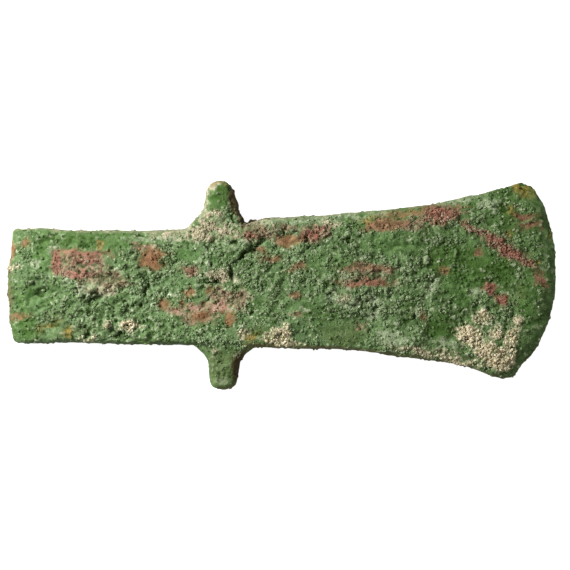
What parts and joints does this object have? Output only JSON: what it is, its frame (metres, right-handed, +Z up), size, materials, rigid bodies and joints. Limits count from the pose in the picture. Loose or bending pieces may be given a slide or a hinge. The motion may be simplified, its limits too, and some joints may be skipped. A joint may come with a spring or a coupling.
{
  "type": "bronze axe head",
  "caption": "Corroded cast bronze axe head with a narrow butt, a stop lug on each side and a blade that flares to a curved edge.",
  "frame": {"origin": "on the resting plane, below the middle of the bounding box", "axes": "+X from the butt to the cutting edge, +Y across the axe towards the upper lug, +Z up out of the crowned face"},
  "size_m": [0.16, 0.0612, 0.01],
  "materials": {
    "patinated_bronze": "rough green corrosion crust with red-brown patches, ochre stains and sandy earth"
  },
  "bodies": {
    "root": {"axe_head": "patinated_bronze"}
  },
  "joints": []
}
